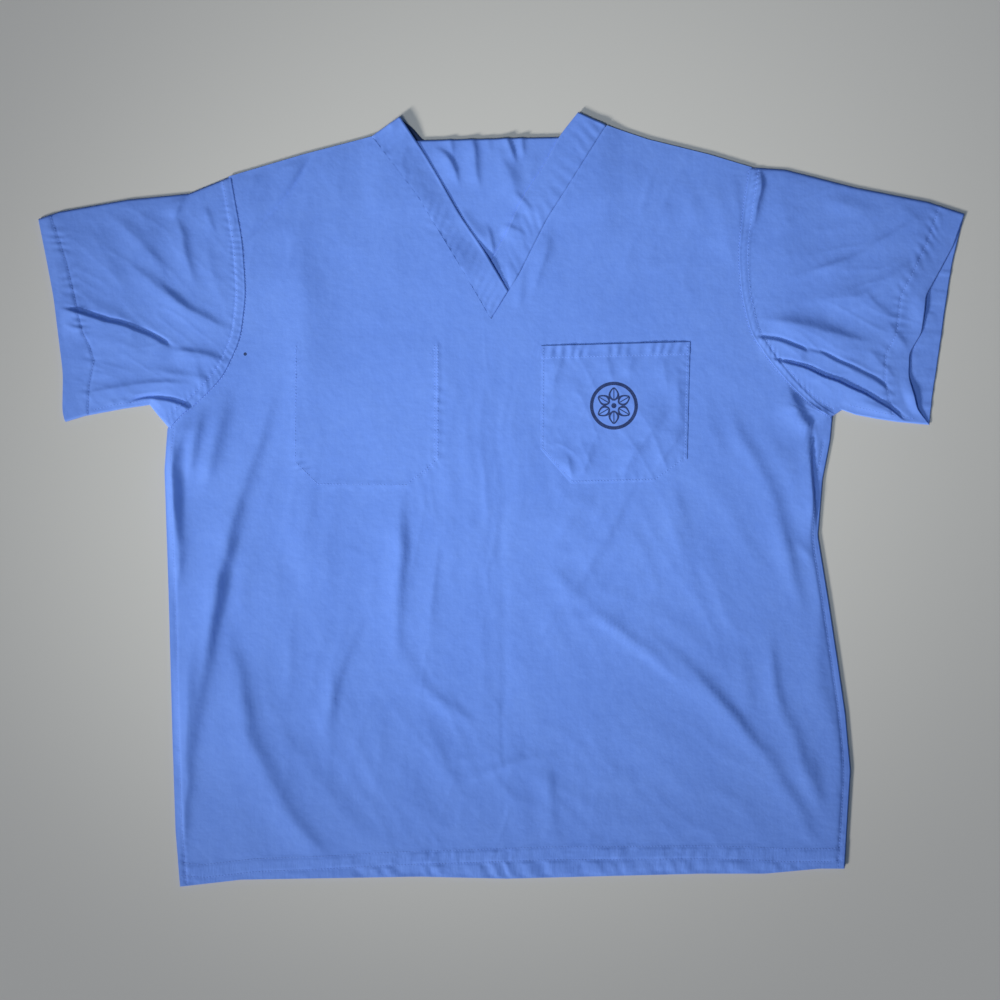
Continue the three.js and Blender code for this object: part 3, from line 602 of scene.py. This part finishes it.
def clothMaterial(name, printed=False, stained=False, shade=1.0):
    made, shader = newLook(name, clothLook["roughness"])
    tree = made.node_tree
    shader.inputs["Specular IOR Level"].default_value = clothLook["gloss"]
    shader.inputs["Sheen Weight"].default_value = clothLook["sheen"]
    shader.inputs["Sheen Roughness"].default_value = 0.5
    place = addNode(tree, "TexCoord").outputs["Object"]
    cloud = noiseAt(tree, place, 9.0, 3.0, 0.55)
    speck = noiseAt(tree, place, 1 / clothLook["grain"] * 0.35, 2.0, 0.6)
    ramp = addNode(tree, "ValToRGB")
    deep, faded = ramp.color_ramp.elements
    deep.position, faded.position = 0.3, 0.72
    # a shade below 1 scales the colours down, which paints shade into the cloth
    deep.color = linear(*[c * shade for c in clothLook["deep"]])
    faded.color = linear(*[c * shade for c in clothLook["faded"]])
    ramp.color_ramp.elements.new(0.5).color = linear(*[c * shade for c in clothLook["blue"]])
    mixed = mathNode(tree, "MULTIPLY_ADD", speck, 0.5, 0.25)
    clouded = mathNode(tree, "MULTIPLY", cloud, 0.4)
    both = mathNode(tree, "ADD", clouded, mathNode(tree, "MULTIPLY", mixed, 0.6))
    tree.links.new(both, ramp.inputs["Fac"])
    colour = ramp.outputs["Color"]
    if printed:
        colour = printedColour(tree, place, colour)
    if stained:
        colour = stainedColour(tree, place, colour)
    tree.links.new(colour, shader.inputs["Base Color"])
    # plain weave: two crossed sets of threads
    sets = []
    for direction in "XY":
        wave = addNode(tree, "TexWave", bands_direction=direction, Scale=1 / clothLook["weave"] / 20,
                       Distortion=0.6, Detail=1.0)
        tree.links.new(place, wave.inputs["Vector"])
        sets.append(wave.outputs["Fac"])
    woven = mathNode(tree, "MULTIPLY", mathNode(tree, "ADD", *sets), clothLook["woven"])
    grain = mathNode(tree, "ADD", woven, speck)
    height = mathNode(tree, "MULTIPLY_ADD", noiseAt(tree, place, 150.0, 2.0), clothLook["crinkle"], grain)
    height = mathNode(tree, "ADD", height, hemRelief(tree, place))
    bump = addNode(tree, "Bump", Strength=clothLook["relief"], Distance=clothLook["depth"])
    tree.links.new(height, bump.inputs["Height"])
    tree.links.new(bump.outputs["Normal"], shader.inputs["Normal"])
    return made


def fromBoard(x, y):
    return (x - board["x"]) / 1000, (board["y"] - y) / 1000


# round print on the pocket: a ring round six leaves and a dot
printSize = {"x": 613.5, "y": 406, "ring": 0.0222, "line": 0.0017, "leafFrom": 0.0050, "leafTo": 0.0182,
             "leafHalf": 0.0044, "leaves": 6, "dot": 0.0026}


def printedColour(tree, place, colour):
    cx, cy = fromBoard(printSize["x"], printSize["y"])
    split = addNode(tree, "SeparateXYZ")
    tree.links.new(place, split.inputs[0])
    dx = mathNode(tree, "SUBTRACT", split.outputs["X"], cx)
    dy = mathNode(tree, "SUBTRACT", split.outputs["Y"], cy)
    far = mathNode(tree, "SQRT", mathNode(tree, "ADD", mathNode(tree, "MULTIPLY", dx, dx),
                                          mathNode(tree, "MULTIPLY", dy, dy)))
    turn = mathNode(tree, "ARCTAN2", dy, dx)
    sector = 2 * math.pi / printSize["leaves"]
    turned = mathNode(tree, "SUBTRACT", mathNode(tree, "FLOORED_MODULO", turn, sector), sector / 2)
    folded = mathNode(tree, "ABSOLUTE", turned)
    across = mathNode(tree, "MULTIPLY", far, mathNode(tree, "SINE", folded))
    span = printSize["leafTo"] - printSize["leafFrom"]
    run = mathNode(tree, "DIVIDE", mathNode(tree, "SUBTRACT", far, printSize["leafFrom"]), span)
    bell = mathNode(tree, "MULTIPLY", mathNode(tree, "SINE", mathNode(tree, "MULTIPLY", run, math.pi)),
                    printSize["leafHalf"])
    inSpan = mathNode(tree, "COMPARE", run, 0.5, 0.5)
    fromBell = mathNode(tree, "ABSOLUTE", mathNode(tree, "SUBTRACT", across, bell))
    leafLine = mathNode(tree, "LESS_THAN", fromBell, printSize["line"] * 0.62)
    vein = mathNode(tree, "LESS_THAN", across, printSize["line"] * 0.3)
    leaf = mathNode(tree, "MULTIPLY", inSpan, mathNode(tree, "MAXIMUM", leafLine, vein))
    ring = mathNode(tree, "COMPARE", far, printSize["ring"], printSize["line"])
    dot = mathNode(tree, "LESS_THAN", far, printSize["dot"])
    inked = mathNode(tree, "MAXIMUM", mathNode(tree, "MAXIMUM", ring, leaf), dot)
    worn = mathNode(tree, "MULTIPLY_ADD", noiseAt(tree, place, 900.0, 2.0), 0.35, 0.72)
    return layOver(tree, mathNode(tree, "MULTIPLY", inked, worn), colour, clothLook["print"])


stainSpot = {"x": 246, "y": 354.5, "radius": 0.0017, "strength": 0.85}


def stainedColour(tree, place, colour):
    cx, cy = fromBoard(stainSpot["x"], stainSpot["y"])
    flat = addNode(tree, "VectorMath", operation="MULTIPLY")
    flat.inputs[1].default_value = (1, 1, 0)
    tree.links.new(place, flat.inputs[0])
    gap = addNode(tree, "VectorMath", operation="DISTANCE")
    gap.inputs[1].default_value = (cx, cy, 0)
    tree.links.new(flat.outputs[0], gap.inputs[0])
    spot = mathNode(tree, "LESS_THAN", gap.outputs["Value"], stainSpot["radius"])
    return layOver(tree, mathNode(tree, "MULTIPLY", spot, stainSpot["strength"]), colour, clothLook["stain"])


blueCloth = clothMaterial("blueCloth", stained=True)
insideCloth = clothMaterial("insideCloth")
# darker cloth for the back neck band: its colours are scaled to 0.42, painted shade for the deep shade inside
# the neck opening
paintedShadeNeckCloth = clothMaterial("paintedShadeNeckCloth", shade=0.42)
pocketCloth = clothMaterial("pocketCloth", printed=True)

threadLook = {"dark": (104, 142, 226), "pale": (132, 168, 244), "roughness": 0.6}


def threadMaterial():
    made, shader = newLook("sewingThread", threadLook["roughness"])
    tree = made.node_tree
    place = addNode(tree, "TexCoord").outputs["Object"]
    ramp = addNode(tree, "ValToRGB")
    ramp.color_ramp.elements[0].color = linear(*threadLook["dark"])
    ramp.color_ramp.elements[1].color = linear(*threadLook["pale"])
    tree.links.new(noiseAt(tree, place, 160.0, 2.0), ramp.inputs["Fac"])
    tree.links.new(ramp.outputs["Color"], shader.inputs["Base Color"])
    return made


sewingThread = threadMaterial()
print("materials made")


def addObject(name, data):
    made = bpy.data.objects.new(name, data)
    bpy.context.scene.collection.objects.link(made)
    return made


def meshObject(name, bm, material):
    for face in bm.faces:
        face.smooth = True
    mesh = bpy.data.meshes.new(name)
    bm.to_mesh(mesh)
    bm.free()
    mesh.materials.append(material)
    return addObject(name, mesh)


# thickness of the cloth below its visible face, and the gap at which borders are joined, in metres
clothSize = {"wall": 0.0007, "pocketWall": 0.00045, "weld": 0.00002}


def spread(share, rows):
    # rows of share and density: steps are closer where the density is higher
    u = np.linspace(0, 1, 2001)
    density = np.interp(u, [r[0] for r in rows], [r[1] for r in rows])
    runs = np.concatenate([[0], np.cumsum((density[1:] + density[:-1]) / 2)])
    return np.interp(share, runs / runs[-1], u)


# borders of a sheet: axis of the grid and place on it
borders = {"left": (0, -0.5), "right": (0, 0.5), "foot": (1, -0.5), "top": (1, 0.5)}


def clothSheet(name, across, up, place, material, node, closed=False, turned=False, crisp=(),
               thickness=clothSize["wall"]):
    # crisp borders are shaded as sharp edges, the others as round ones
    bm = bmesh.new()
    bmesh.ops.create_grid(bm, x_segments=across, y_segments=up, size=0.5)
    bm.verts.index_update()
    start = np.array([v.co for v in bm.verts])
    for axis, value in [borders[side] for side in crisp]:
        onBorder = np.abs(start[:, axis] - value) < 0.001
        for edge in bm.edges:
            if all(onBorder[v.index] for v in edge.verts):
                edge.smooth = False
    x, y, z = place(start[:, 0] + 0.5, start[:, 1] + 0.5)
    bx, by = fromBoard(x, y)
    for vert, spot in zip(bm.verts, np.stack([bx, by, z / 1000], 1)):
        vert.co = spot
    if closed:
        bmesh.ops.remove_doubles(bm, verts=bm.verts, dist=clothSize["weld"])
    if turned:
        bmesh.ops.reverse_faces(bm, faces=bm.faces)
    piece = meshObject(name, bm, material)
    wall = piece.modifiers.new("wall", "SOLIDIFY")
    wall.thickness = thickness
    wall.offset = -1
    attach(piece, "root")
    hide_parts(node)
    return piece


def clothHeight(piece):
    # height of a made piece in millimetres, seen from above
    mesh = piece.data
    tree = BVHTree.FromPolygons([v.co for v in mesh.vertices], [p.vertices for p in mesh.polygons])
    def height(x, y):
        hits = [tree.ray_cast(Vector((*fromBoard(*spot), 0.05)), Vector((0, 0, -1)))[0]
                for spot in zip(np.ravel(x), np.ravel(y))]
        return np.array([hit.z * 1000 if hit else np.nan for hit in hits])
    return height


# share and density of the steps, which are closer where the cloth has fine shapes
panelSteps = {
    "frontAcross": [(0, 3), (0.018, 3), (0.03, 1), (0.37, 1), (0.376, 2), (0.42, 2), (0.426, 1), (0.47, 1),
                    (0.48, 2), (0.495, 2), (0.505, 1), (0.97, 1), (0.982, 3), (1, 3)],
    "frontUp": [(0, 2.6), (0.05, 2.6), (0.07, 1), (0.552, 1), (0.557, 2.4), (0.573, 2.4), (0.578, 1),
                (0.97, 1), (0.99, 2), (1, 2)],
    "backAcross": [(0, 1), (0.34, 1), (0.38, 5), (0.66, 5), (0.7, 1), (1, 1)],
    "backUp": [(0, 1), (0.74, 1), (0.8, 5), (1, 5)],
}


def placeFront(s, t):
    x, y = bodyPoint(spread(s, panelSteps["frontAcross"]), spread(t, panelSteps["frontUp"]), frontTop)
    return x, y, frontHeight(x, y)


def placeBack(s, t):
    s = spread(s, panelSteps["backAcross"])
    x, y = bodyPoint(s, spread(t, panelSteps["backUp"]), backTop)
    x = x + 0.6 * (1 - 2 * s)
    drop = 0.15 * smooth(2.5, 0, y - readTable(backTop, x))
    return x, y, backHeight(x, y) - drop


frontPanel = clothSheet("frontPanel", 212, 226, placeFront, blueCloth, "front_panel",
                        crisp=("left", "foot", "top"))
backPanel = clothSheet("backPanel", 150, 150, placeBack, insideCloth, "back_panel")
onFront = clothHeight(frontPanel)
print("body panels laid")


def patchPoint(edges, u, v):
    # a point of the surface that four edges bound
    start, end = lineAt(edges["start"], v), lineAt(edges["end"], v)
    top, under = lineAt(edges["top"], u), lineAt(edges["under"], u)
    corners = [edges["top"][0], edges["top"][-1], edges["under"][0], edges["under"][-1]]
    spot = []
    for k in range(2):
        ruled = start[k] * (1 - u) + end[k] * u + top[k] * (1 - v) + under[k] * v
        flat = ((corners[0][k] * (1 - u) + corners[1][k] * u) * (1 - v)
                + (corners[2][k] * (1 - u) + corners[3][k] * u) * v)
        spot.append(ruled - flat)
    return spot


# heights of a sleeve's folded edges and lower layer, and the share of its depth in which an edge turns over
sleeveShape = {"edge": 1.0, "under": 0.05, "cuffWaves": 0.5, "turn": 0.012,
               "steps": [(0, 2.4), (0.06, 2.4), (0.09, 1), (0.8, 1), (0.84, 2), (0.88, 2), (0.92, 1),
                         (1, 1.4)]}


def sleevePlace(front, back, cuffGape, lap):
    def place(u, around):
        u = spread(u, sleeveShape["steps"])
        upper = around < 0.5
        v = np.where(upper, around * 2, 2 - around * 2)
        fx, fy = patchPoint(front, u, v)
        bx, by = patchPoint(back, u, v)
        x, y = np.where(upper, fx, bx), np.where(upper, fy, by)
        # the felled seam lies on the edge of the body panel
        seam = lap * smooth(-0.003, 0.006, u) * smooth(0.062, 0.045, u)
        top = frontHeight(fx, fy) + seam + cuffGape(u, v)
        inward = np.minimum(v, 1 - v) / sleeveShape["turn"]
        rim = np.where(inward < 1, np.sqrt(np.clip(1 - (1 - inward) ** 2, 0, 1)), 1)
        waves = smooth(0.8, 0.9, u) * smooth(-0.2, 0.8, softNoise(x * 0.4, y, 7, 51))
        under = sleeveShape["under"] + sleeveShape["cuffWaves"] * waves
        edge = sleeveShape["edge"]
        return x, y, np.where(upper, edge + (top - edge) * rim, edge - (edge - under) * rim)
    return place


leftStart = movedLine(leftArmhole, -2.5)
leftEdges = {"start": leftStart, "end": roundedLine(leftCuff), "top": [leftStart[0]] + leftSleeveTop[1:],
             "under": [leftStart[-1]] + leftSleeveUnder[1:]}
rightStart = movedLine(rightArmhole, 2.5)
rightFrontEdges = {"start": rightStart, "end": roundedLine(rightCuffFront, 130),
                   "top": [rightStart[0]] + rightSleeveTop[1:],
                   "under": [rightStart[-1]] + rightSleeveUnder[1:]}
rightBackEdges = dict(rightFrontEdges, end=roundedLine(rightCuffBack))


def leftGape(u, v):
    return 0.8 * smooth(0.8, 1, u) * np.sin(math.pi * v)


def rightGape(u, v):
    # the cuff sags, with two waves in its upper edge
    sag = 1.2 * smooth(0.7, 1, u) * np.sin(math.pi * v)
    waves = np.exp(-(((v - 0.46) / 0.08) ** 2)) + 1.1 * np.exp(-(((v - 0.86) / 0.07) ** 2))
    return 2.8 * smooth(0.9, 1, u) * waves - sag


rightSleeve = clothSheet("rightSleeve", 128, 330, sleevePlace(leftEdges, leftEdges, leftGape, 0.7), blueCloth,
                         "right_sleeve", closed=True, crisp=("right",))
leftSleeve = clothSheet("leftSleeve", 132, 330, sleevePlace(rightFrontEdges, rightBackEdges, rightGape, 0.4),
                        blueCloth, "left_sleeve", closed=True, turned=True, crisp=("left",))
print("sleeves set in")


# bands: height over the front and the back, puckers, and how the two lap at the point of the V
bandShape = {"over": 0.1, "overBack": 0.95, "pucker": 0.28, "length": 222, "spacing": 10.5, "slant": 9,
             "stand": 2.6, "lap": 0.5, "tuck": 0.9}


def acrossBand(sewn, free, s, t):
    ax, ay = lineAt(sewn, t)
    bx, by = lineAt(free, t)
    return ax, ay, between(ax, bx, s), between(ay, by, s)


def bandPlace(sewn, free, rise, ease, sink=0.0):
    def place(s, t):
        ax, ay, x, y = acrossBand(sewn, free, s, t)
        laid = onFront(ax, ay)
        base = np.where(np.isnan(laid), frontHeight(ax, ay), laid) + neckRaise(x, y) - neckRaise(ax, ay)
        base = base + bandShape["over"] - sink * smooth(0.05, 0, s)
        fold = smooth(0, 0.1, s) * smooth(1, 0.93, s)
        along = (t * bandShape["length"] + s * bandShape["slant"]) / bandShape["spacing"]
        wave = np.cos(2 * math.pi * along + 3 * softNoise(x, y, 19, 71))
        pucker = bandShape["pucker"] * wave * smooth(-0.3, 0.5, softNoise(x, y, 31, 72)) * smooth(1, 0.3, s)
        wrinkled = wrinkleField(x * 1.7, y * 1.7) - 0.2 + pucker
        return x, y, rise(s, t, base, backHeight(x, y)) + ease * fold * wrinkled
    return place


def leftBandRise(s, t, base, under):
    # it drops to the back piece, stands up at the shoulder and laps over its twin at the point
    free = under + bandShape["overBack"] + bandShape["stand"] * smooth(0.2, 0.03, t)
    free = between(free, base + bandShape["lap"], smooth(0.66, 0.9, t))
    return between(base, free, smooth(0, 1, s))


def rightBandRise(s, t, base, under):
    # its end is tucked below its twin
    base = base - bandShape["tuck"] * smooth(0.8, 0.87, t)
    return between(base, under + bandShape["overBack"], smooth(0, 1, s))


leftPlace = bandPlace(movedLine(roundedLine(leftBandSewn), 0.9), roundedLine(leftBandFree), leftBandRise,
                      1.2, 0.3)
rightPlace = bandPlace(roundedLine(rightBandSewn), roundedLine(rightBandFree), rightBandRise, 0.9)
leftBand = clothSheet("neckbandRightFront", 16, 120, leftPlace, blueCloth, "neckband_right_front",
                      turned=True, crisp=("left",))
rightBand = clothSheet("neckbandLeftFront", 16, 120, rightPlace, blueCloth, "neckband_left_front")


def placeBackBand(s, t):
    x, y = acrossBand(roundedLine(backBandLower), roundedLine(backBandUpper), s, t)[2:]
    return x, y, 0.75 + 0.2 * softNoise(x, y, 14, 31) ** 2


# the back neck band wears the darkened cloth: painted shade under the raised front bands
backBand = clothSheet("neckbandBack", 12, 90, placeBackBand, paintedShadeNeckCloth, "neckband_back",
                      turned=True)
print("neck bands sewn on")


pocketCreases = [
    (672, 408, 628, 474, 6, 9, 1.9, -0.45),
    (690, 424, 650, 478, 3, 7, 1.2, -0.4),
    (640, 440, 622, 482, 2, 7, 1.1, -0.4),
    (592, 440, 580, 488, 0, 8, 1.5, -0.4),
    (566, 452, 574, 488, 0, 6, 1.3, -0.4),
    (604, 352, 612, 384, 0, 7, 1.0, -0.3),
    (566, 352, 550, 400, 3, 8, 1.2, -0.4),
    (660, 354, 668, 396, 0, 8, 1.0, -0.3),
    (632, 352, 628, 380, 0, 6, 0.9, -0.3),
    (676, 372, 684, 440, 0, 6, 0.9, -0.3),
]


# outer pocket: size, height over the front, top hem, and how far edges and stitching are pressed in
pocketShape = {"width": 148, "depth": 138, "over": 0.36, "topHem": 0.25, "mouth": 0.1, "edges": 0.33,
               "stitching": 0.16, "stitchingAt": 3.6, "innerBelow": 1.15}


def pocketPlace(edge, height):
    foot = edge[1:5]
    def place(s, t):
        down = 1 - t
        yTop = between(edge[0][1], edge[5][1], s)
        yFoot = readTable([((x - foot[0][0]) / (foot[3][0] - foot[0][0]), y) for x, y in foot], s)
        xLeft, xRight = between(edge[0][0], edge[1][0], down), between(edge[5][0], edge[4][0], down)
        x, y = between(xLeft, xRight, s), between(yTop, yFoot, down)
        return x, y, height(x, y, s, down)
    return place


def patchHeight(x, y, s, down):
    rim = np.minimum(np.minimum(s, 1 - s) * pocketShape["width"], (1 - down) * pocketShape["depth"])
    fromTop = y - between(patchEdge[0][1], patchEdge[5][1], s)
    ease = smooth(0, 14, rim)
    soft = ease * (0.7 * wrinkleField(x + 60, y + 150) + creaseField(pocketCreases, x, y))
    laid, under = onFront(x, y), frontHeight(x, y)
    under = between(under, np.where(np.isnan(laid), under, laid), smooth(6, 2, rim))
    mouth = pocketShape["mouth"] * smooth(12, 0, fromTop) * ease
    top = pocketShape["topHem"] * smooth(13.2, 11.8, fromTop) + mouth
    # the edge towards the sleeve is pressed in less than the others
    pressed = (pocketShape["edges"] - 0.1 * smooth(0.8, 0.92, s)) * smooth(3.0, 0, rim)
    stitched = pocketShape["stitching"] * np.exp(-((rim - pocketShape["stitchingAt"]) / 1.1) ** 2)
    return under + pocketShape["over"] + top + soft - pressed - stitched


def innerHeight(x, y, s, down):
    return frontHeight(x, y) - pocketShape["innerBelow"]


patchPocket = clothSheet("patchPocket", 130, 120, pocketPlace(patchEdge, patchHeight), pocketCloth,
                         "patch_pocket", crisp=("left", "foot"),
                         thickness=clothSize["pocketWall"])
innerPocket = clothSheet("innerPocket", 40, 40, pocketPlace(innerEdge, innerHeight), insideCloth,
                         "inner_pocket")
print("pockets sewn on")

# sewing thread in millimetres
thread = {"pitch": 3.1, "length": 2.4, "width": 0.6, "height": 0.36, "lift": 0.02}


def threadPiece(name, rows):
    # rows of small stitches, each lying along its line on the cloth
    bm = bmesh.new()
    shape = Matrix.Diagonal([thread[side] / 1000 for side in ("length", "width", "height")] + [1])
    for line, height in rows:
        sizes = [math.hypot(b[0] - a[0], b[1] - a[1]) for a, b in zip(line, line[1:])]
        count = max(int(sum(sizes) / thread["pitch"]), 2)
        u = (np.arange(count) + 0.5) / count
        x, y = lineAt(line, u)
        x2, y2 = lineAt(line, u + 0.3 / count)
        for ax, ay, az, bx, by, bz in zip(x, y, height(x, y), x2, y2, height(x2, y2)):
            if np.isnan(az) or np.isnan(bz):
                continue
            spot = Vector((*fromBoard(ax, ay), (az + thread["lift"]) / 1000))
            ahead = Vector((*fromBoard(bx, by), (bz + thread["lift"]) / 1000)) - spot
            turn = ahead.to_track_quat("X", "Z").to_matrix().to_4x4()
            bmesh.ops.create_icosphere(bm, subdivisions=1, radius=0.5,
                                       matrix=Matrix.Translation(spot) @ turn @ shape)
    piece = meshObject(name, bm, sewingThread)
    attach(piece, "root")
    return piece


onPatch = clothHeight(patchPocket)
onRightSleeve, onLeftSleeve = clothHeight(rightSleeve), clothHeight(leftSleeve)
bodyLines = [leftSeam, rightSeam, movedLine(leftArmhole, -3), movedLine(rightArmhole, 3), hemStitch, hemFoot,
             innerEdge, [(438, 346), (430, 354), (438, 364)], movedLine(innerEdge[3:], -3)]
bodyThread = threadPiece("bodyThread", [(line, onFront) for line in bodyLines])
sleeveRows = [(movedLine(leftArmhole, 6.5), onRightSleeve), (leftCuffStitch, onRightSleeve),
              ([(94, 410), (120, 404), (148, 401)], onRightSleeve),
              (movedLine(rightArmhole, -6.5), onLeftSleeve), (rightCuffStitch, onLeftSleeve),
              ([(848, 405), (880, 413), (914, 419)], onLeftSleeve)]
sleeveThread = threadPiece("sleeveThread", sleeveRows)
patchLines = [[(543.4, 348), (542.6, 448), (572, 481.4), (654.5, 479.4), (684.4, 457.6), (687.2, 344)],
              [(542.5, 358.2), (688, 354.6)]]
pocketThread = threadPiece("pocketThread", [(line, onPatch) for line in patchLines])
print("seams stitched")

# floor, lights and camera: turns and lifts in degrees, the pool's aim on the board, distances in metres
studio = {
    "floor": 6.0, "floorColour": (196, 194, 190), "floorRoughness": 0.9, "floorGap": 0.0004,
    "height": 1.389, "lens": 50, "sensor": 36,
    "keyTurn": 225, "keyLift": 22, "keyAway": 3, "keyPower": 3.5, "keyColour": (1.03, 0.99, 0.9),
    "keySoftness": 10,
    "poolTurn": 225, "poolLift": 62, "poolAway": 1.85, "poolPower": 80, "poolColour": (0.92, 0.96, 0.94),
    "poolAim": (500, 395), "poolCone": 37, "poolSize": 0.25,
    "skyPower": 0.15, "skyColour": (0.42, 0.7, 1.18, 1),
}

bm = bmesh.new()
bmesh.ops.create_grid(bm, x_segments=1, y_segments=1, size=studio["floor"] / 2)
floorLook, floorShader = newLook("paleFloor", studio["floorRoughness"])
floorShader.inputs["Base Color"].default_value = linear(*studio["floorColour"])
floor = meshObject("floor", bm, floorLook)
floor.location = (0, 0, -studio["floorGap"])


def newLamp(name, kind, aim):
    turn, lift = math.radians(studio[name + "Turn"]), math.radians(studio[name + "Lift"])
    away = Vector((math.cos(lift) * math.cos(turn), math.cos(lift) * math.sin(turn), math.sin(lift)))
    lamp = addObject(name, bpy.data.lights.new(name, kind))
    lamp.data.energy = studio[name + "Power"]
    lamp.data.color = studio[name + "Colour"]
    lamp.location = Vector(aim) + away * studio[name + "Away"]
    lamp.rotation_euler = away.to_track_quat("Z", "Y").to_euler()
    return lamp


key = newLamp("key", "SUN", (0, 0, 0))
key.data.angle = math.radians(studio["keySoftness"])
# a soft pool of light from above the chest
pool = newLamp("pool", "SPOT", (*fromBoard(*studio["poolAim"]), 0))
pool.data.spot_size = math.radians(studio["poolCone"])
pool.data.spot_blend = 1
pool.data.shadow_soft_size = studio["poolSize"]

world = bpy.data.worlds.new("studio")
bpy.context.scene.world = world
world.use_nodes = True
world.node_tree.nodes["Background"].inputs["Color"].default_value = studio["skyColour"]
world.node_tree.nodes["Background"].inputs["Strength"].default_value = studio["skyPower"]
bpy.context.scene.view_settings.view_transform = "Standard"

camera = addObject("camera", bpy.data.cameras.new("camera"))
camera.data.lens = studio["lens"]
camera.data.sensor_width = studio["sensor"]
camera.location = (*fromBoard(500, 500), studio["height"])
bpy.context.scene.camera = camera
print("studio lit")
